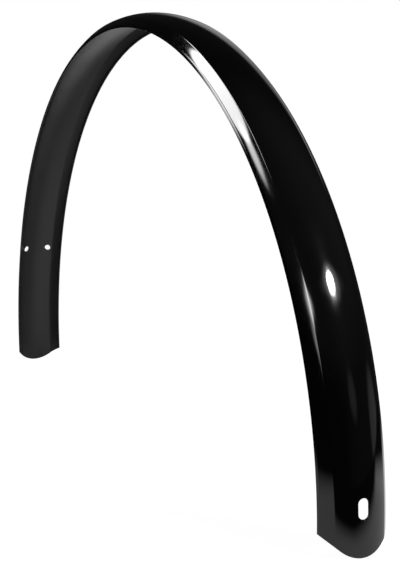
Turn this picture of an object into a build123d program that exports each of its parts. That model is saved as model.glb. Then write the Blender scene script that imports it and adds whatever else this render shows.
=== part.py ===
"""One-piece bicycle mudguard blade, in millimetres.

The blade is a thin folded channel that follows the wheel for a little over
half a turn. It is cut to a rounded nose at both ends, with a fixing slot near
the front end and two stay holes near the tail.

The origin is the slot's centre on the blade's outer face. +X points out of
the slot, +Y runs across the blade and +Z points up, so the wheel's axle
crosses the X axis behind the slot.
"""
import os
from math import asin, cos, radians, sin, tan

from build123d import *

# The arch. Angles are measured about the axle, from the slot over the top to the tail.
RIM_RADIUS = 350.0
FRONT_TIP_ANGLE = -5.7
TAIL_TIP_ANGLE = 181.7

# Width from rim to rim at the top of the arch, and how much wider the front end is.
TOP_WIDTH = 52.5
FRONT_FLARE = 4.2

# Section at the top: a curved crown, a folded side wall each side, and a turned-down lip on each rim.
BLADE_DEPTH = 12.8
CROWN_WIDTH = 37.8
CROWN_RISE = 4.0
LIP_HEIGHT = 2.7
LIP_SPREAD = 0.85
WALL = 1.4
CROWN_FOLD_RADIUS = 2.6
LIP_FOLD_RADIUS = 2.0
LIP_EDGE_RADIUS = 0.55

# The bend flattens the section over the top. Level with the axle it is deeper and its crown rounder.
END_DEPTH = 18.2
END_CROWN_RISE = 6.0
END_SHAPE_POWER = 6

# Both ends are cut to the same nose: a round tip between two straight flanks.
NOSE_RADIUS = 26.0
NOSE_FLANK_ANGLE = 40.0

# Fixing slot on the centreline, its long way along the arch.
SLOT_LENGTH = 15.5
SLOT_WIDTH = 8.0

# Two holes for the stay bridge, drilled square to the crown.
STAY_HOLE_ANGLE = 160.8
STAY_HOLE_SPACING = 25.5
STAY_HOLE_DIAMETER = 6.0

# Making: the number of lofted sections, how far they run past each tip, and how far cutters stand clear.
SECTION_COUNT = 17
OVERRUN_ANGLE = 2.5
CUT_MARGIN = 5.0

OUTER_RADIUS = RIM_RADIUS + END_DEPTH
AXLE = Vector(-OUTER_RADIUS, 0, 0)


def radial(angle):
    """Unit vector from the axle to the blade at this angle."""
    return Vector(cos(radians(angle)), 0, sin(radians(angle)))


def along(angle):
    """Unit vector along the arch, from the slot towards the tail."""
    return Vector(-sin(radians(angle)), 0, cos(radians(angle)))


def spread_at(angle):
    """Width at this angle over the width at the top: it falls from front to tail as a cosine."""
    return 1 + FRONT_FLARE / TOP_WIDTH * cos(radians(angle))


def end_share(angle):
    """How much of the end's shape the section has here: all of it level with the axle, none at the top."""
    return abs(cos(radians(angle))) ** END_SHAPE_POWER


def depth_at(angle):
    """Depth of the blade at this angle, from the rims to the crown's middle."""
    return BLADE_DEPTH + (END_DEPTH - BLADE_DEPTH) * end_share(angle)


def crown_rise_at(angle):
    """Height of the crown's middle over its folds at this angle."""
    return CROWN_RISE + (END_CROWN_RISE - CROWN_RISE) * end_share(angle)


def nearest_vertices(sketch, point, count):
    """The sketch vertices that lie nearest to a point given as (x, y)."""
    target = Vector(*point)
    return sketch.vertices().sort_by(lambda vertex: (Vector(vertex.X, vertex.Y) - target).length)[:count]


def round_fold(section, point, outer_radius):
    """Round one fold of the section: the outer corner, and the inner one on the same centre."""
    outer, inner = nearest_vertices(section, point, 2)
    inner_point = (inner.X, inner.Y)
    fillet(outer, outer_radius)
    fillet(nearest_vertices(section, inner_point, 1), outer_radius - WALL)


def section_face(angle):
    """The blade's section: local x runs across, local y outwards, with the rims' outer edges on y = 0."""
    spread = spread_at(angle)
    depth = depth_at(angle)
    rim = (TOP_WIDTH / 2 * spread, 0)
    lip_fold = ((TOP_WIDTH / 2 - LIP_SPREAD) * spread, LIP_HEIGHT)
    crown_fold = (CROWN_WIDTH / 2 * spread, depth - crown_rise_at(angle))
    right = [crown_fold, lip_fold, rim]
    left = [(-x, y) for x, y in reversed(right)]
    plane = Plane(origin=AXLE + radial(angle) * RIM_RADIUS, x_dir=(0, 1, 0), z_dir=-along(angle))
    with BuildSketch(plane) as section:
        with BuildLine():
            Polyline(*left)
            ThreePointArc(left[-1], (0, depth), right[0])
            Polyline(*right)
            offset(amount=WALL, side=Side.RIGHT, kind=Kind.INTERSECTION)
        make_face()
        for side in (1, -1):
            round_fold(section, (side * crown_fold[0], crown_fold[1]), CROWN_FOLD_RADIUS)
            round_fold(section, (side * lip_fold[0], lip_fold[1]), LIP_FOLD_RADIUS)
            fillet(nearest_vertices(section, (side * rim[0], rim[1]), 2), LIP_EDGE_RADIUS)
    return section.sketch.face()


def arch_blank():
    """The channel before its ends are cut, lofted through sections spaced evenly along the arch."""
    first = FRONT_TIP_ANGLE - OVERRUN_ANGLE
    last = TAIL_TIP_ANGLE + OVERRUN_ANGLE
    step = (last - first) / (SECTION_COUNT - 1)
    return loft([section_face(first + step * i) for i in range(SECTION_COUNT)])


def nose_cutter(tip_angle, outward):
    """Everything beyond the nose outline at one tip, cut square through the blade."""
    flank = radians(NOSE_FLANK_ANGLE)
    tangent_x = NOSE_RADIUS * sin(flank)
    tangent_y = -NOSE_RADIUS * (1 - cos(flank))
    side_x = TOP_WIDTH / 2 * spread_at(tip_angle) + CUT_MARGIN
    side_y = tangent_y - (side_x - tangent_x) * tan(flank)
    beyond = OUTER_RADIUS * radians(OVERRUN_ANGLE) + CUT_MARGIN
    tip = AXLE + radial(tip_angle) * (RIM_RADIUS + depth_at(tip_angle))
    plane = Plane(origin=tip, x_dir=outward.cross(radial(tip_angle)), z_dir=radial(tip_angle))
    with BuildPart() as cutter:
        with BuildSketch(plane):
            with BuildLine():
                Line((-side_x, side_y), (-tangent_x, tangent_y))
                ThreePointArc((-tangent_x, tangent_y), (0, 0), (tangent_x, tangent_y))
                Line((tangent_x, tangent_y), (side_x, side_y))
                Polyline((side_x, side_y), (side_x, beyond), (-side_x, beyond), (-side_x, side_y))
            make_face()
        extrude(amount=END_DEPTH + 2 * CUT_MARGIN, both=True)
    return cutter.part


def fixing_slot():
    """Round-ended slot through the crown at the origin."""
    plane = Plane(origin=(0, 0, 0), x_dir=(0, 0, 1), z_dir=(1, 0, 0))
    with BuildPart() as slot:
        with BuildSketch(plane):
            SlotOverall(SLOT_LENGTH, SLOT_WIDTH)
        extrude(amount=END_DEPTH, both=True)
    return slot.part


def stay_hole(side):
    """One stay hole, on the line from the crown's centre of curvature through the hole's place."""
    half_crown = CROWN_WIDTH / 2 * spread_at(STAY_HOLE_ANGLE)
    crown_rise = crown_rise_at(STAY_HOLE_ANGLE)
    crown_radius = (half_crown**2 + crown_rise**2) / (2 * crown_rise)
    lean = asin(STAY_HOLE_SPACING / 2 / crown_radius)
    crown_middle_radius = RIM_RADIUS + depth_at(STAY_HOLE_ANGLE)
    crown_centre = AXLE + radial(STAY_HOLE_ANGLE) * (crown_middle_radius - crown_radius)
    direction = radial(STAY_HOLE_ANGLE) * cos(lean) + Vector(0, side * sin(lean), 0)
    plane = Plane(origin=crown_centre + direction * crown_radius, z_dir=direction)
    with BuildPart() as hole:
        with BuildSketch(plane):
            Circle(STAY_HOLE_DIAMETER / 2)
        extrude(amount=END_DEPTH, both=True)
    return hole.part


def mudguard_blade():
    """The finished blade: the arch, less what lies beyond each nose, the slot and the stay holes."""
    front_cut = nose_cutter(FRONT_TIP_ANGLE, -along(FRONT_TIP_ANGLE))
    tail_cut = nose_cutter(TAIL_TIP_ANGLE, along(TAIL_TIP_ANGLE))
    return arch_blank() - front_cut - tail_cut - fixing_slot() - stay_hole(1) - stay_hole(-1)


blade = mudguard_blade()
box = blade.bounding_box()
print("blade size", box.size, "volume", round(blade.volume), "solids", len(blade.solids()))
os.makedirs("parts", exist_ok=True)
export_step(blade.solid(), "parts/mudguard_blade.step")
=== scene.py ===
# %% [markdown]
# # A bicycle mudguard in gloss black
# A one-piece plastic blade follows the wheel for a little over half a turn. Its outer face is a mirror-like
# black, and the side that faces the tyre is plain matt. This lesson builds the camera, the blade as a surface
# worked out with numpy, its three finishes, and the studio around it.

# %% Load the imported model
from math import acos, atan2, cos, hypot, radians, sin, tan

import bpy
import numpy as np
from mathutils import Matrix, Vector


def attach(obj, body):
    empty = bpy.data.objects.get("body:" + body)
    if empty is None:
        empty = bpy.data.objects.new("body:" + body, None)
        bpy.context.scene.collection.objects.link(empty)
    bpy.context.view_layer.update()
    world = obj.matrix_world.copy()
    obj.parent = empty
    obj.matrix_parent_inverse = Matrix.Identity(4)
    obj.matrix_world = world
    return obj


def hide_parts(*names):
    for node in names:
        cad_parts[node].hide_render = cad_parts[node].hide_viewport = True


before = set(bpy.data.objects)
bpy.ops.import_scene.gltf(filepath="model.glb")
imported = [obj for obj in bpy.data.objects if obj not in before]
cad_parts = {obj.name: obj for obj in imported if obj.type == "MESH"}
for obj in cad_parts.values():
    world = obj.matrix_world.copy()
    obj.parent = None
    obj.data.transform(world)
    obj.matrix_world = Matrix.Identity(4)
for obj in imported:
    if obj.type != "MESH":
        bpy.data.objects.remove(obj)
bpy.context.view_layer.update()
scene = bpy.context.scene

# %% [markdown]
# ## Camera
# A product photograph of a long thin thing is taken with a long lens, so the near leg isn't much bigger than
# the far one. The camera stands in front and to one side of the blade, a little above its middle, and looks
# slightly down. Its place and turn are worked out from the two rims in the picture, which are true circles on
# the real blade.

# %% Camera
CAMERA_PLACE = (0.88514, -0.52187, 0.30712)
CAMERA_TURN = (81.6372, 1.6831, 65.4443)
LENS = 91.507
SENSOR = 36.0

camera_data = bpy.data.cameras.new("camera")
camera_data.lens = LENS
camera_data.sensor_width = SENSOR
camera = bpy.data.objects.new("camera", camera_data)
camera.location = CAMERA_PLACE
camera.rotation_euler = [radians(turn) for turn in CAMERA_TURN]
scene.collection.objects.link(camera)
scene.camera = camera
scene.view_settings.view_transform = "Standard"
print("camera", CAMERA_PLACE, "lens", LENS)

# %% [markdown]
# ## Sizes of the blade
# Every size is in millimetres here, and the mesh is written in metres at the end. Angles run round the
# wheel's axle, in degrees, from the fixing slot at 0 over the top at 90 to the tail. The names are those of
# the solid model, and the values have to be too, because this surface takes that solid's place. Only the
# bulge is new. A moulded wall is never quite flat, and a slope that changes by about nine degrees across it,
# up to a fifth of a millimetre in all, decides how a mirror finish tapers its highlights.

# %% Sizes of the blade
RIM_RADIUS = 350.0
FRONT_TIP_ANGLE = -5.7
TAIL_TIP_ANGLE = 181.7
TOP_WIDTH = 52.5
FRONT_FLARE = 4.2
BLADE_DEPTH = 12.8
CROWN_WIDTH = 37.8
CROWN_RISE = 4.0
LIP_HEIGHT = 2.7
LIP_SPREAD = 0.85
WALL = 1.4
CROWN_FOLD_RADIUS = 2.6
LIP_FOLD_RADIUS = 2.0
END_DEPTH = 18.2
END_CROWN_RISE = 6.0
END_SHAPE_POWER = 6
# The bulge is in radians: the wall's slope is this much less at the crown fold and this much more at the lip.
WALL_BULGE = 0.08
OUTER_RADIUS = RIM_RADIUS + END_DEPTH
MILLIMETRE = 0.001
print("rims", RIM_RADIUS, "mm from the axle, crown", OUTER_RADIUS, "mm from it level with the axle")

# %% [markdown]
# ## The folded section
# Cut across, the blade is a shallow crown, a fold, a side wall, a second fold and a short lip. A Bezier curve
# could be drawn through these, but its folds would only be near their true radius. Here the outline is walked
# step by step instead. The slope is known all the way: it grows evenly along an arc and stays put along a
# straight, or nearly so on the side wall, so adding up the small steps gives the place. The fold's start on
# the crown comes from the distance between the two arcs' centres, which is the difference of their radii.

# %% The folded section
STEPS_PER_STRETCH = 1200


def fold_stretches(depth, crown_rise):
    """The five stretches of half a section, as lengths and the slope at each end of them.

    An arc's length is its radius times its turn. A straight is what is left between two corners once the
    arcs have taken their share, which at a corner between straights is radius times the tangent of half the
    turn.
    """
    half_crown = CROWN_WIDTH / 2
    crown_radius = (half_crown**2 + crown_rise**2) / (2 * crown_rise)
    wall_run = TOP_WIDTH / 2 - LIP_SPREAD - half_crown
    wall_drop = depth - crown_rise - LIP_HEIGHT
    wall_slope = atan2(wall_drop, wall_run)
    lip_slope = atan2(LIP_HEIGHT, LIP_SPREAD)
    corner_height = crown_radius - crown_rise
    centre_distance = crown_radius - CROWN_FOLD_RADIUS
    reach = half_crown * sin(wall_slope) + corner_height * cos(wall_slope)
    crown_end = wall_slope - acos((reach - CROWN_FOLD_RADIUS) / centre_distance)
    fold_end_across = centre_distance * sin(crown_end) + CROWN_FOLD_RADIUS * sin(wall_slope)
    fold_end_height = centre_distance * cos(crown_end) + CROWN_FOLD_RADIUS * cos(wall_slope)
    taken_by_fold = hypot(fold_end_across - half_crown, fold_end_height - corner_height)
    taken_by_lip = LIP_FOLD_RADIUS * tan((lip_slope - wall_slope) / 2)
    lengths = [
        crown_radius * crown_end,
        CROWN_FOLD_RADIUS * (wall_slope - crown_end),
        hypot(wall_run, wall_drop) - taken_by_fold - taken_by_lip,
        LIP_FOLD_RADIUS * (lip_slope - wall_slope),
        hypot(LIP_SPREAD, LIP_HEIGHT) - taken_by_lip,
    ]
    slopes = [0.0, crown_end, wall_slope - WALL_BULGE, wall_slope + WALL_BULGE, lip_slope, lip_slope]
    return lengths, slopes


def half_outline(depth, crown_rise):
    """Walk, across and height along half a section, at even shares of each of its five stretches.

    Across is the sum of step times cosine of slope, and height is the depth less the sum of step times sine.
    """
    lengths, slopes = fold_stretches(depth, crown_rise)
    marks = np.arange(len(slopes))
    places = np.linspace(0, marks[-1], STEPS_PER_STRETCH * marks[-1] + 1)
    walk = np.interp(places, marks, np.concatenate([[0.0], np.cumsum(lengths)]))
    slope = np.interp((places[1:] + places[:-1]) / 2, marks, slopes)
    across = np.concatenate([[0.0], np.cumsum(np.cos(slope) * np.diff(walk))])
    height = depth - np.concatenate([[0.0], np.cumsum(np.sin(slope) * np.diff(walk))])
    return walk, across, height


half_walk, top_across, top_height = half_outline(BLADE_DEPTH, CROWN_RISE)
level_across, level_height = half_outline(END_DEPTH, END_CROWN_RISE)[1:]
stretch_ends = half_walk[::STEPS_PER_STRETCH]
print("half outlines end at", round(top_across[-1], 3), round(top_height[-1], 3), "at the top and")
print(round(level_across[-1], 3), round(level_height[-1], 3), "level with the axle")

# %% [markdown]
# ## The surface round the wheel
# The real blade is extruded flat and bent round a former, which flattens it most over the top. So two
# outlines are walked, one for the top and one for the height of the axle, and every section between is a
# blend of them. A point on the outer face needs two numbers: the angle round the axle, and the walk across
# from the crown's middle, counted along the top outline. Both may be whole arrays, so one call places every
# vertex.

# %% The surface round the wheel


def spread_at(angle):
    """Width at this angle over the width at the top: one plus a share times the cosine of the angle."""
    return 1 + FRONT_FLARE / TOP_WIDTH * np.cos(np.radians(angle))


def end_share(angle):
    """Share of the level outline in the blend: a power of the cosine, 1 level with the axle, 0 at the top."""
    return np.abs(np.cos(np.radians(angle))) ** END_SHAPE_POWER


def section_place(walk, angle):
    """Across and height in the section: the top outline's, plus a share of the level outline's difference."""
    share = end_share(angle)
    distance = np.abs(walk)
    across = np.interp(distance, half_walk, top_across)
    across = across + share * np.interp(distance, half_walk, level_across - top_across)
    height = np.interp(distance, half_walk, top_height)
    height = height + share * np.interp(distance, half_walk, level_height - top_height)
    return np.sign(walk) * across, height


def blade_place(angle, walk):
    """Points of the outer face. Radius is the rim radius plus the height in the section.

    x is radius times cosine, less the outer radius; z is radius times sine; y is across times the spread.
    """
    across, height = section_place(walk, angle)
    radius = RIM_RADIUS + height
    turn = np.radians(angle)
    x = radius * np.cos(turn) - OUTER_RADIUS
    z = radius * np.sin(turn)
    y = across * spread_at(angle)
    return np.stack([x, y, z], axis=-1)


print("slot centre lands at", blade_place(np.array(0.0), np.array(0.0)))

# %% [markdown]
# ## Rounded ends
# Both ends are cut to a nose: a round tip between two straight flanks. Cutting a finished mesh with a boolean
# would leave slivers that show in a mirror finish. So the grid's last rows bow instead, until the very last
# row lies on the nose's outline. Each column is set back from the tip by the outline's distance at its own
# place across, and the set-back fades out over a few degrees.

# %% Rounded ends
NOSE_RADIUS = 26.0
NOSE_FLANK_ANGLE = 40.0
FRONT_FADE = 3.7
TAIL_FADE = 6.0


def nose_set_back(walk, tip_angle):
    """Degrees from the tip back to the cut: radius less root(radius^2 - across^2), then a straight flank."""
    across, height = section_place(walk, tip_angle)
    across = np.abs(across) * spread_at(tip_angle)
    flank = radians(NOSE_FLANK_ANGLE)
    round_across = NOSE_RADIUS * sin(flank)
    inside = NOSE_RADIUS - np.sqrt(np.maximum(NOSE_RADIUS**2 - across**2, 0))
    outside = NOSE_RADIUS * (1 - cos(flank)) + (across - round_across) * tan(flank)
    set_back = np.where(across < round_across, inside, outside)
    return np.degrees(np.arcsin(set_back / (RIM_RADIUS + height)))


def bowed_angles(rows, walks):
    """Angle of every grid point: the row's own, moved in from each tip by the set-back times its share.

    The share is 1 at the tip and falls evenly to 0 over the fade.
    """
    front_share = np.clip(1 - (rows - FRONT_TIP_ANGLE) / FRONT_FADE, 0, 1)
    tail_share = np.clip(1 - (TAIL_TIP_ANGLE - rows) / TAIL_FADE, 0, 1)
    front = front_share[:, None] * nose_set_back(walks, FRONT_TIP_ANGLE)[None, :]
    tail = tail_share[:, None] * nose_set_back(walks, TAIL_TIP_ANGLE)[None, :]
    return rows[:, None] + front - tail


rim_walk = half_walk[-1]
print("rims set back by", nose_set_back(rim_walk, FRONT_TIP_ANGLE), "degrees in front and")
print(nose_set_back(rim_walk, TAIL_TIP_ANGLE), "at the tail")

# %% [markdown]
# ## Slot and stay holes
# A slot near the front takes the fixing screw, and two round holes near the tail take the stay bridge. Around
# each one a block of the grid is left out and filled with rings. The outermost ring is the block's own
# border, the innermost is the opening's edge, and the rings between them are evenly spaced. A border point is
# drawn towards the nearest point of the opening's spine, which is a short line for the slot and a dot for a
# hole. A block's half-sizes are in degrees along the arch and in millimetres across.

# %% Slot and stay holes
SLOT_LENGTH = 15.5
SLOT_WIDTH = 8.0
STAY_HOLE_ANGLE = 160.8
STAY_HOLE_SPACING = 25.5
STAY_HOLE_DIAMETER = 6.0
SLOT_BLOCK = (1.9, 8.8)
HOLE_BLOCK = (0.8, 4.6)
SLOT_RINGS = 6
HOLE_RINGS = 2

across_there = section_place(half_walk, STAY_HOLE_ANGLE)[0] * spread_at(STAY_HOLE_ANGLE)
hole_walk = float(np.interp(STAY_HOLE_SPACING / 2, across_there, half_walk))
print("stay holes lie", round(hole_walk, 3), "mm from the crown's middle along the outline")

# %% [markdown]
# ## Rows and columns of the grid
# An even grid would need very many faces to show a fold of two millimetres as round. So the steps differ:
# fine across the folds and round the openings and noses, and longer where the surface hardly changes. Marks
# that have to be hit, such as a block's side, start and end the runs of even steps.

# %% Rows and columns of the grid
FRONT_NOSE_STEP = 0.42
SLOT_STEP = 0.2
ARCH_STEP = 0.5
HOLE_STEP = 0.16
TAIL_NOSE_STEP = 0.4
CROWN_STEP = 1.1
CROWN_FOLD_STEP = 0.11
WALL_STEP = 1.1
LIP_FOLD_STEP = 0.16
LIP_STEP = 0.8


def even_steps(marks, step):
    """Values from the first mark to the last that hit every mark, with nearly even steps between them."""
    runs = [np.linspace(a, b, max(1, round((b - a) / step)) + 1)[:-1] for a, b in zip(marks, marks[1:])]
    return np.concatenate(runs + [marks[-1:]])


def grid_rows():
    """Row angles from tip to tip: fine steps near the openings and the noses, longer ones elsewhere."""
    slot_edge, hole_edge = SLOT_BLOCK[0], HOLE_BLOCK[0]
    nose_start = TAIL_TIP_ANGLE - TAIL_FADE
    front = even_steps([FRONT_TIP_ANGLE, -slot_edge], FRONT_NOSE_STEP)
    slot = even_steps([-slot_edge, slot_edge], SLOT_STEP)
    over = even_steps([slot_edge, STAY_HOLE_ANGLE - hole_edge], ARCH_STEP)
    holes = even_steps([STAY_HOLE_ANGLE - hole_edge, STAY_HOLE_ANGLE + hole_edge], HOLE_STEP)
    tail = even_steps([STAY_HOLE_ANGLE + hole_edge, nose_start], ARCH_STEP)
    nose = even_steps([nose_start, TAIL_TIP_ANGLE], TAIL_NOSE_STEP)
    return np.concatenate([front, slot[1:], over[1:], holes[1:], tail[1:], nose[1:]])


def grid_walks():
    """Walks across, mirrored about 0: marks at the blocks' sides and at each end of every stretch."""
    hole_sides = [hole_walk - HOLE_BLOCK[1], hole_walk + HOLE_BLOCK[1]]
    crown = even_steps(sorted([0.0, SLOT_BLOCK[1], *hole_sides, stretch_ends[1]]), CROWN_STEP)
    crown_fold = even_steps(stretch_ends[1:3], CROWN_FOLD_STEP)
    wall = even_steps(stretch_ends[2:4], WALL_STEP)
    lip_fold = even_steps(stretch_ends[3:5], LIP_FOLD_STEP)
    lip = even_steps(stretch_ends[4:6], LIP_STEP)
    half = np.concatenate([crown, crown_fold[1:], wall[1:], lip_fold[1:], lip[1:]])
    return np.concatenate([-half[:0:-1], half])


rows, walks = grid_rows(), grid_walks()
print("grid:", len(rows), "rows by", len(walks), "columns")

# %% [markdown]
# ## Faces from tables of vertex numbers
# The blocks are found by their marks in the rows and columns. Faces are made from a table of vertex numbers:
# each four neighbours in the table make one face, so a ring patch is only another table, closed on itself.

# %% Faces from tables of vertex numbers


def faces_of(table):
    """Four-sided faces between neighbours in a table of vertex numbers, facing out of the blade."""
    corners = [table[:-1, :-1], table[:-1, 1:], table[1:, 1:], table[1:, :-1]]
    return np.stack(corners, axis=-1).reshape(-1, 4)


def block_border(table):
    """The border of a block of the table, once round, anticlockwise as seen from outside."""
    sides = [table[:-1, -1], table[-1, :0:-1], table[:0:-1, 0], table[0, :-1]]
    return np.concatenate(sides)


def ring_points(angles, walks, centre_angle, centre_walk, half_spine, radius, rings):
    """Angle and walk of the rings from a block's border, ring 0, to the opening's edge, the last ring.

    In millimetres round the centre, the edge point is spine + radius * direction, where spine is the border
    point's nearest place on the spine and direction points from there to the border point. A ring's points
    are the border's plus a share of the way to the edge.
    """
    spread = spread_at(centre_angle)
    along = np.radians(angles - centre_angle) * OUTER_RADIUS
    across = (walks - centre_walk) * spread
    spine = np.clip(along, -half_spine, half_spine)
    length = np.hypot(along - spine, across)
    edge_along = spine + radius * (along - spine) / length
    edge_across = radius * across / length
    share = np.linspace(0, 1, rings + 1)[:, None]
    ring_along = along + (edge_along - along) * share
    ring_across = across + (edge_across - across) * share
    return centre_angle + np.degrees(ring_along / OUTER_RADIUS), centre_walk + ring_across / spread


def nearest(values, target):
    """Place in the list of the value nearest to the target."""
    return int(np.argmin(np.abs(values - target)))


# Each opening: angle and walk of its centre, its block, half its spine, its edge's radius and its rings.
openings = [
    (0.0, 0.0, SLOT_BLOCK, (SLOT_LENGTH - SLOT_WIDTH) / 2, SLOT_WIDTH / 2, SLOT_RINGS),
    (STAY_HOLE_ANGLE, hole_walk, HOLE_BLOCK, 0.0, STAY_HOLE_DIAMETER / 2, HOLE_RINGS),
    (STAY_HOLE_ANGLE, -hole_walk, HOLE_BLOCK, 0.0, STAY_HOLE_DIAMETER / 2, HOLE_RINGS),
]
print(len(openings), "openings to cut")

# %% [markdown]
# ## The blade
# All vertices go into one list of angles and walks: first the grid, then the rings. They become points in one
# call, and the mesh is an open sheet, the blade's outer face. The vertices inside the blocks belong to no
# face, so they are left out and the others numbered again.

# %% The blade
table = np.arange(len(rows) * len(walks)).reshape(len(rows), len(walks))
all_angles = bowed_angles(rows, walks).ravel()
all_walks = np.broadcast_to(walks, table.shape).ravel()
kept = np.ones((len(rows) - 1, len(walks) - 1), bool)
faces = []
for centre_angle, centre_walk, (half_angle, half_width), half_spine, radius, rings_here in openings:
    first_row, last_row = nearest(rows, centre_angle - half_angle), nearest(rows, centre_angle + half_angle)
    first_walk, last_walk = nearest(walks, centre_walk - half_width), nearest(walks, centre_walk + half_width)
    kept[first_row:last_row, first_walk:last_walk] = False
    border = block_border(table[first_row:last_row + 1, first_walk:last_walk + 1])
    ring_angles, ring_walks = ring_points(
        all_angles[border], all_walks[border], centre_angle, centre_walk, half_spine, radius, rings_here
    )
    new_numbers = len(all_angles) + np.arange(rings_here * len(border)).reshape(rings_here, len(border))
    rings = np.vstack([border[None, :], new_numbers])
    faces.append(faces_of(np.hstack([rings, rings[:, :1]])))
    all_angles = np.concatenate([all_angles, ring_angles[1:].ravel()])
    all_walks = np.concatenate([all_walks, ring_walks[1:].ravel()])
grid_faces = faces_of(table).reshape(len(rows) - 1, len(walks) - 1, 4)[kept]
faces = np.vstack([grid_faces, *faces])
points = blade_place(all_angles, all_walks) * MILLIMETRE

blade_mesh = bpy.data.meshes.new("blade")
used = np.unique(faces)
renumber = np.zeros(len(points), int)
renumber[used] = np.arange(len(used))
blade_mesh.from_pydata(points[used], [], renumber[faces])
blade_mesh.shade_smooth()
blade = bpy.data.objects.new("blade", blade_mesh)
scene.collection.objects.link(blade)
print("blade sheet:", len(blade_mesh.vertices), "vertices,", len(blade_mesh.polygons), "faces")

# %% [markdown]
# ## Wall and broken edges
# A second surface could be worked out for the inside, but Solidify already does that well for a sheet of one
# thickness. It gives the sheet its wall, inwards, and marks the inner face and the cut edge for finishes of
# their own. Bevel then breaks the sharp edges, as trimming and a quick deburr do on the real blade.

# %% Wall and broken edges
EDGE_BREAK = 0.55
EDGE_STEPS = 3
EDGE_ANGLE = 50.0

wall = blade.modifiers.new("wall", "SOLIDIFY")
wall.thickness = WALL * MILLIMETRE
wall.offset = -1
wall.use_even_offset = True
wall.material_offset = 1
wall.material_offset_rim = 2
edges = blade.modifiers.new("broken edges", "BEVEL")
edges.width = EDGE_BREAK * MILLIMETRE
edges.segments = EDGE_STEPS
edges.limit_method = "ANGLE"
edges.angle_limit = radians(EDGE_ANGLE)
edges.harden_normals = True
print("wall", WALL, "mm, edges broken by", EDGE_BREAK, "mm")

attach(blade, "root")
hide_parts("mudguard_blade")

# %% [markdown]
# ## Writing shaders as sums
# A node tree is easier to read as arithmetic than as a drawing. This small class holds one output socket, and
# a sum, difference, product or quotient of it adds the Math node that works it out. Every other node comes
# from `add`, which takes the node's type, its settings, and the values or links of its sockets.

# %% Writing shaders as sums


class Wire:
    """One output of a node tree, or the tree alone. Arithmetic on it adds Math nodes."""

    def __init__(self, tree, socket=None):
        self.tree = tree
        self.socket = socket

    def add(self, kind, settings=None, sockets=None, output=0):
        """Add a node of this type. Settings go first, with a ramp's stops as (place, grey), then sockets."""
        node = self.tree.nodes.new(kind)
        for name, value in (settings or {}).items():
            if name == "stops":
                set_stops(node.color_ramp, value)
            else:
                setattr(node, name, value)
        for name, value in (sockets or {}).items():
            if isinstance(value, Wire):
                self.tree.links.new(value.socket, node.inputs[name])
            else:
                node.inputs[name].default_value = value
        return Wire(self.tree, node.outputs[output] if node.outputs else None)

    def maths(self, operation, first, second):
        return self.add("ShaderNodeMath", {"operation": operation}, {0: first, 1: second})

    def __add__(self, other):
        return self.maths("ADD", self, other)

    def __sub__(self, other):
        return self.maths("SUBTRACT", self, other)

    def __rsub__(self, other):
        return self.maths("SUBTRACT", other, self)

    def __mul__(self, other):
        return self.maths("MULTIPLY", self, other)

    def __truediv__(self, other):
        return self.maths("DIVIDE", self, other)

    def __rtruediv__(self, other):
        return self.maths("DIVIDE", other, self)

    __radd__ = __add__
    __rmul__ = __mul__


def set_stops(ramp, stops):
    """Give a colour ramp these stops, each a place and a grey level."""
    while len(ramp.elements) < len(stops):
        ramp.elements.new(1.0)
    for element, (place, grey) in zip(ramp.elements, stops):
        element.position = place
        element.color = (grey, grey, grey, 1.0)


# %% [markdown]
# ## What the three finishes share
# All three finishes are the same plastic, so they share its index of refraction and are put together in one
# way. Noise on the piece's own coordinates, which are in metres, makes a blend of two colours, a change of
# roughness and a tiny bump. The patterns stay on the blade wherever it goes.

# %% What the three finishes share
PLASTIC_IOR = 1.5


def new_material(name):
    """A material with an empty node tree, and a wire with the piece's own coordinates in metres."""
    material = bpy.data.materials.new(name)
    material.use_nodes = True
    material.node_tree.nodes.clear()
    return material, Wire(material.node_tree).add("ShaderNodeTexCoord", output="Object")


def noise(place, scale, detail, roughness):
    """Noise from 0 to 1 with this many cells to a metre, and finer layers as detail and roughness ask."""
    sockets = {"Vector": place, "Scale": scale, "Detail": detail, "Roughness": roughness}
    return place.add("ShaderNodeTexNoise", {}, sockets)


def ramp(wire, low, high):
    """0 below low, 1 above high and even between."""
    return wire.add("ShaderNodeValToRGB", {"stops": [(low, 0.0), (high, 1.0)]}, {"Fac": wire})


def blend(share, first, second):
    """Colour that goes from the first to the second as the share goes from 0 to 1."""
    sockets = {"Factor": share, "A": first, "B": second}
    return share.add("ShaderNodeMix", {"data_type": "RGBA"}, sockets, output="Result")


def finish_plastic(colour, roughness, height, strength, distance):
    """Close the tree: plastic of this colour and roughness, bumped by height times distance in metres."""
    bump = {"Height": height, "Strength": strength, "Distance": distance}
    surface = height.add("ShaderNodeBump", {}, bump)
    sockets = {"Base Color": colour, "Roughness": roughness, "IOR": PLASTIC_IOR, "Normal": surface}
    shader = height.add("ShaderNodeBsdfPrincipled", {}, sockets)
    shader.add("ShaderNodeOutputMaterial", {}, {"Surface": shader})


# %% [markdown]
# ## Gloss black outside
# The outer face comes off a polished roll, so it mirrors the studio. Moulded gloss is never a perfect mirror:
# it has a very slight waviness some millimetres long, called orange peel, and hazier patches where hands and
# packing have rubbed it. A low roughness with a little variation, and a bump a few hundredths of a millimetre
# high at most, give that. The colour is nearly black, because all the brightness there is comes from
# reflections.

# %% Gloss black outside
GLOSS_BLACK = (0.0014, 0.0014, 0.0018, 1.0)
GLOSS_BLACK_WORN = (0.0035, 0.0035, 0.0040, 1.0)
GLOSS_ROUGHNESS = 0.06
HAZE_ROUGHNESS = 0.04
SPECK_ROUGHNESS = 0.03

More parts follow.
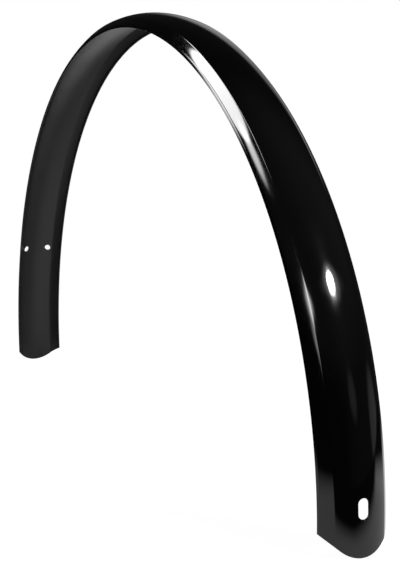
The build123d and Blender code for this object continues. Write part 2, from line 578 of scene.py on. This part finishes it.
gloss, place = new_material("gloss_black")
patches = ramp(noise(place, 22.0, 3.0, 0.55), 0.42, 0.68)
specks = ramp(noise(place, 260.0, 4.0, 0.6), 0.60, 0.78)
peel = noise(place, 110.0, 1.0, 0.4)
colour = blend(specks * patches, GLOSS_BLACK, GLOSS_BLACK_WORN)
roughness = GLOSS_ROUGHNESS + HAZE_ROUGHNESS * patches + SPECK_ROUGHNESS * specks
finish_plastic(colour, roughness, peel, 0.35, 0.00003)
print("made", gloss.name)

# %% [markdown]
# ## Matt inside
# The face towards the tyre isn't polished. It has a fine even grain that scatters light, so it looks dark
# grey rather than black, and it shows no reflections except at a very low angle.

# %% Matt inside
MATT_GREY = (0.034, 0.034, 0.035, 1.0)
MATT_GREY_PALE = (0.046, 0.046, 0.046, 1.0)
MATT_ROUGHNESS = 0.33
MOTTLE_ROUGHNESS = 0.10
MOTTLE_SHARE = 0.6
GRAIN_SHARE = 0.3

matt, place = new_material("matt_inside")
mottle = noise(place, 35.0, 5.0, 0.6)
grain = noise(place, 1600.0, 2.0, 0.5)
colour = blend(mottle * MOTTLE_SHARE + grain * GRAIN_SHARE, MATT_GREY, MATT_GREY_PALE)
finish_plastic(colour, MATT_ROUGHNESS + MOTTLE_ROUGHNESS * mottle, grain, 0.5, 0.00005)
print("made", matt.name)

# %% [markdown]
# ## Cut edge
# Where the blade is sawn to length, punched and trimmed, the bare plastic shows. It is a little greyer than
# the polished face, with a fine grain from the cutter.

# %% Cut edge
CUT_BLACK = (0.010, 0.010, 0.011, 1.0)
CUT_GREY = (0.024, 0.024, 0.025, 1.0)
CUT_ROUGHNESS = 0.32
CUT_GRAIN_ROUGHNESS = 0.2

cut, place = new_material("cut_edge")
cut_grain = noise(place, 900.0, 3.0, 0.6)
colour = blend(cut_grain, CUT_BLACK, CUT_GREY)
finish_plastic(colour, CUT_ROUGHNESS + CUT_GRAIN_ROUGHNESS * cut_grain, cut_grain, 0.4, 0.00004)

for material in (gloss, matt, cut):
    blade_mesh.materials.append(material)
print("made", cut.name, "and gave the blade", len(blade_mesh.materials), "finishes")

# %% [markdown]
# ## Floor
# A sheet of pale paper lies under the blade. The part's own frame has the slot's axis level, which leaves the
# tail tip a little higher than the front tip, so the sheet slopes by that much and both tips stand on it. The
# camera sees the paper as white, less a faint shadow. Mirrors see light painted on it: a soft-edged painted
# pool of light round the blade's foot, and a painted bright sweep behind the blade.

# %% Floor
TIP_CLEARANCE = 0.0002
SHEET_FRONT = 0.35
SHEET_BACK = -3.5
SHEET_HALF_WIDTH = 3.0
SHEET_GLOW = 0.97
SHEET_COLOUR = 0.25
SHEET_UNLIT = 0.02

tips = blade_place(np.array([FRONT_TIP_ANGLE, TAIL_TIP_ANGLE]), np.zeros(2)) * MILLIMETRE
floor_slope = (tips[1, 2] - tips[0, 2]) / (tips[1, 0] - tips[0, 0])


def floor_height(x):
    """Height of the sheet at x: the straight line through the two tips, less a hair."""
    return tips[0, 2] + (x - tips[0, 0]) * floor_slope - TIP_CLEARANCE


floor_mesh = bpy.data.meshes.new("floor")
corners = [(SHEET_BACK, -1), (SHEET_FRONT, -1), (SHEET_FRONT, 1), (SHEET_BACK, 1)]
floor_points = [(x, side * SHEET_HALF_WIDTH, floor_height(x)) for x, side in corners]
floor_mesh.from_pydata(floor_points, [], [(0, 1, 2, 3)])
floor = bpy.data.objects.new("floor", floor_mesh)
scene.collection.objects.link(floor)
print("floor slope", round(floor_slope, 5), "height under the slot", round(floor_height(0.0), 5))

# %% [markdown]
# ## Light on the paper
# A lamp over the paper would also light the blade, so the light that mirrors see is written on the paper
# itself. Each edge of the pool is a smooth step across a straight line on the sheet, given by the places
# where it starts and ends, in metres. The front edge bends back where the blade stands, the right edge runs
# aslant, a back edge closes the pool behind, and the level rises in two steps from left to right. The sweep
# behind is a wedge that opens away from the blade. The rest of the sheet keeps a small unlit share.

# %% Light on the paper
FRONT_EDGE = (0.075, 0.010)
FRONT_EDGE_BEND = 0.35
LEFT_EDGE = (-0.42, -0.18)
RIGHT_EDGE = (0.53, 0.18)
RIGHT_EDGE_SLANT = 0.55
BACK_EDGE = (-0.82, -0.66)
LEFT_LEVEL = 0.8
MIDDLE_RISE, MIDDLE_EDGE = 0.25, (-0.10, 0.10)
RIGHT_RISE, RIGHT_RISE_EDGE = 0.40, (0.12, 0.30)
SWEEP_BRIGHTNESS = 1.75
SWEEP_SLANT = 0.55
SWEEP_SLANT_EDGE = (0.0, -0.35)
SWEEP_SIDE_EDGE = (0.04, 0.14)
SWEEP_NEAR_EDGE = (-0.55, -0.85)
SWEEP_FAR_EDGE = (-2.2, -1.5)


def smooth_step(wire, low, high):
    """0 below low, 1 above high and smooth between. With low above high it falls instead."""
    sockets = {"Value": wire, "From Min": low, "From Max": high}
    return wire.add("ShaderNodeMapRange", {"interpolation_type": "SMOOTHSTEP"}, sockets)


paper, place = new_material("paper")
axes = place.add("ShaderNodeSeparateXYZ", {}, {"Vector": place}).socket.node.outputs
along_sheet = Wire(place.tree, axes["X"])
across_sheet = Wire(place.tree, axes["Y"])
sideways = place.add("ShaderNodeMath", {"operation": "ABSOLUTE"}, {0: across_sheet})
front_edge = smooth_step(along_sheet - FRONT_EDGE_BEND * sideways, *FRONT_EDGE)
left_edge = smooth_step(across_sheet, *LEFT_EDGE)
right_edge = smooth_step(across_sheet - RIGHT_EDGE_SLANT * along_sheet, *RIGHT_EDGE)
back_edge = smooth_step(along_sheet, *BACK_EDGE)
level = LEFT_LEVEL + MIDDLE_RISE * smooth_step(across_sheet, *MIDDLE_EDGE)
level = level + RIGHT_RISE * smooth_step(across_sheet, *RIGHT_RISE_EDGE)
pool = front_edge * left_edge * right_edge * back_edge * level
wedge = smooth_step(across_sheet + SWEEP_SLANT * along_sheet, *SWEEP_SLANT_EDGE)
wedge = wedge * smooth_step(across_sheet, *SWEEP_SIDE_EDGE)
sweep = SWEEP_BRIGHTNESS * wedge
sweep = sweep * smooth_step(along_sheet, *SWEEP_NEAR_EDGE) * smooth_step(along_sheet, *SWEEP_FAR_EDGE)
either = pool.maths("MAXIMUM", pool, sweep)
print("pool of light with its front edge at", FRONT_EDGE, "m, sweep of brightness", SWEEP_BRIGHTNESS)

# %% [markdown]
# ## Paper
# The camera and anything clear see the paper as plain white. Mirrors see the light written on it, and matt
# surfaces only what its grey sends back. Light Path tells which ray has arrived.

# %% Paper
rays = place.add("ShaderNodeLightPath").socket.node.outputs
direct = Wire(place.tree, rays["Is Camera Ray"]) + Wire(place.tree, rays["Is Transmission Ray"])
glossy_ray = Wire(place.tree, rays["Is Glossy Ray"])
mirrored = glossy_ray * (either + SHEET_UNLIT)
glow_sockets = {"Color": (1, 1, 1, 1), "Strength": (direct + mirrored) * SHEET_GLOW}
glow = place.add("ShaderNodeEmission", {}, glow_sockets)
lit = place.add("ShaderNodeBsdfDiffuse", {}, {"Color": SHEET_COLOUR * (1 - glossy_ray)})
both = place.add("ShaderNodeAddShader", {}, {0: glow, 1: lit})
both.add("ShaderNodeOutputMaterial", {}, {"Surface": both})
floor_mesh.materials.append(paper)
print("made", paper.name)

# %% [markdown]
# ## Room and soft boxes
# Behind the blade the world is a white backdrop. The rest of the room is dark, as studios are, and that is
# what the polished face mirrors: it is why the blade looks black. The big soft boxes that its walls and folds
# mirror could be lamps, but a lamp has hard edges and these fade out softly. So each is an oval in the sky,
# worked out from the direction alone. The lamp further down gives the light that falls on the blade.

# %% Directions in the room
world = bpy.data.worlds.new("studio")
scene.world = world
world.use_nodes = True
world.node_tree.nodes.clear()
start = Wire(world.node_tree)
direction = start.add("ShaderNodeTexCoord", output="Generated")


def part_along(vector):
    """How far the direction points along a vector: their dot product."""
    sockets = {0: direction, 1: vector}
    return direction.add("ShaderNodeVectorMath", {"operation": "DOT_PRODUCT"}, sockets, "Value")


def sky_axes(azimuth, elevation, tilt):
    """Vectors towards a place in the sky, sideways there and upwards there, the last two turned by the tilt.

    Azimuth is counted from +X towards +Y and elevation up from level, all in degrees.
    """
    turn, rise, roll = radians(azimuth), radians(elevation), radians(tilt)
    towards = Vector((cos(turn) * cos(rise), sin(turn) * cos(rise), sin(rise)))
    east = Vector((-sin(turn), cos(turn), 0))
    north = towards.cross(east)
    return towards, east * cos(roll) + north * sin(roll), north * cos(roll) - east * sin(roll)


def soft_oval(azimuth, elevation, tilt, half_width, half_height, core):
    """Share of a soft oval: 1 out to its core, 0 from its rim on, and smooth between.

    Sideways over ahead, and upwards over ahead, are the tangents of the angles from the oval's middle. Each
    is divided by the oval's half-size, and the sum of their squares is 1 on the rim. The core is a share of
    the way out to the rim.
    """
    towards, sideways, upwards = sky_axes(azimuth, elevation, tilt)
    ahead = part_along(towards)
    across = part_along(sideways / half_width) / ahead
    along = part_along(upwards / half_height) / ahead
    inside = smooth_step(across * across + along * along, 1.0, core**2)
    facing = ahead.maths("GREATER_THAN", ahead, 0.0)
    return inside * facing


print("world", world.name, "has its directions")

# %% [markdown]
# ## Dim room
# A studio isn't evenly dark. In front of the blade this one is a little lighter towards +Y and higher up,
# which keeps the polished face from going flat black. The rest stays at its darkest.

# %% Dim room
ROOM_DARK = 0.015
ROOM_LEFT = 0.03
ROOM_HIGH = 0.045
ROOM_FRONT_EDGE = (-0.45, 0.15)
ROOM_LEFT_EDGE = (-0.2, 0.4)
ROOM_HIGH_EDGE = (0.2, 0.5)

front = smooth_step(part_along((1, 0, 0)), *ROOM_FRONT_EDGE)
left = smooth_step(part_along((0, 1, 0)), *ROOM_LEFT_EDGE)
high = smooth_step(part_along((0, 0, 1)), *ROOM_HIGH_EDGE)
room = ROOM_DARK + front * (ROOM_LEFT * left + ROOM_HIGH * high)
print("room from", ROOM_DARK, "to", round(ROOM_DARK + ROOM_LEFT + ROOM_HIGH, 3))

# %% [markdown]
# ## Soft boxes
# Each oval is placed where a part of the blade mirrors it, so the list reads like a list of highlights. The
# near side is the one towards the camera, at -Y.

# %% Soft boxes
# Each: brightness, azimuth, elevation and tilt in degrees, half width and half height as tangents, and core.
soft_boxes = [
    # Broad strip on the near side wall, and its tail
    (18.0, -128.0, 53.5, 0.0, 0.333, 0.17, 0.80),
    (13.0, -98.0, 48.0, -38.0, 0.18, 0.085, 0.2),
    # Thin line on the crown fold above the strip: its length, its start and its end
    (11.0, -136.0, 66.0, 27.0, 0.50, 0.09, 0.5),
    (12.0, -166.0, 56.0, 38.0, 0.15, 0.065, 0.2),
    (14.0, -86.0, 60.5, -41.0, 0.16, 0.055, 0.0),
    # Lip of the near rim, and the lip fold between it and the strip
    (14.0, -134.0, 24.0, -25.0, 0.20, 0.19, 0.45),
    (12.0, -140.0, 39.0, 0.0, 0.11, 0.13, 0.3),
    # Fill line on the near leg's lower fold, and its tail
    (17.0, -51.0, 30.0, 20.0, 0.40, 0.125, 0.4),
    (5.0, -63.0, 17.5, 0.0, 0.15, 0.14, 0.0),
    # Glow round the key lamp's highlight, and the wider halo round that
    (2.2, 32.0, 39.0, -13.0, 0.34, 0.10, 0.0),
    (0.40, 32.0, 39.5, -13.0, 0.55, 0.068, 0.0),
    # Faint light from behind and from the far side, and a faint patch ahead
    (0.48, 136.0, 19.0, -15.0, 0.46, 0.24, 0.55),
    (0.32, 71.0, -2.0, 0.0, 0.28, 0.21, 0.45),
    (0.22, 23.0, 12.0, 0.0, 0.18, 0.14, 0.0),
]
mirrored = room
for brightness, *oval in soft_boxes:
    mirrored = mirrored + brightness * soft_oval(*oval)
print(len(soft_boxes), "ovals in the sky")

# %% [markdown]
# ## What each ray sees
# Camera and glass see white, mirrors see the room, and matt surfaces get a little light from all round.

# %% What each ray sees
ROOM_LIGHT = 0.10

rays = start.add("ShaderNodeLightPath").socket.node.outputs
glossy_ray = Wire(start.tree, rays["Is Glossy Ray"])
white = Wire(start.tree, rays["Is Camera Ray"]) + Wire(start.tree, rays["Is Transmission Ray"])
ambient = ROOM_LIGHT * (1 - glossy_ray) * (1 - white)
strength = white + glossy_ray * mirrored + ambient
sky = start.add("ShaderNodeBackground", {}, {"Color": (1, 1, 1, 1), "Strength": strength})
sky.add("ShaderNodeOutputWorld", {}, {"Surface": sky})
print("light from all round:", ROOM_LIGHT)

# %% [markdown]
# ## Key lamp
# One lamp lights the blade. What matters on a mirror-like face is where a lamp lies and how big it looks from
# there, so it is given by the point that mirrors it, the direction and distance from that point, and its half
# width and half height as tangents. Its power is its brightness times pi times its area.

# %% Key lamp
KEY_SEEN_FROM = (-0.036, 0.0, 0.157)
KEY_AZIMUTH = 30.5
KEY_ELEVATION = 39.4
KEY_TILT = -8.4
KEY_DISTANCE = 1.8
KEY_HALF_WIDTH = 0.129
KEY_HALF_HEIGHT = 0.055
KEY_BRIGHTNESS = 75.0

lamp_data = bpy.data.lights.new("key", "AREA")
lamp_data.shape = "ELLIPSE"
lamp_data.size = 2 * KEY_HALF_WIDTH * KEY_DISTANCE
lamp_data.size_y = 2 * KEY_HALF_HEIGHT * KEY_DISTANCE
lamp_area = np.pi / 4 * lamp_data.size * lamp_data.size_y
lamp_data.energy = KEY_BRIGHTNESS * np.pi * lamp_area
lamp = bpy.data.objects.new("key", lamp_data)
towards, sideways, upwards = sky_axes(KEY_AZIMUTH, KEY_ELEVATION, KEY_TILT)
lamp.matrix_world = Matrix((sideways, upwards, towards)).transposed().to_4x4()
lamp.location = Vector(KEY_SEEN_FROM) + towards * KEY_DISTANCE
lamp.visible_camera = False
scene.collection.objects.link(lamp)
print("key at", [round(x, 2) for x in lamp.location], "watts", round(lamp_data.energy, 1))
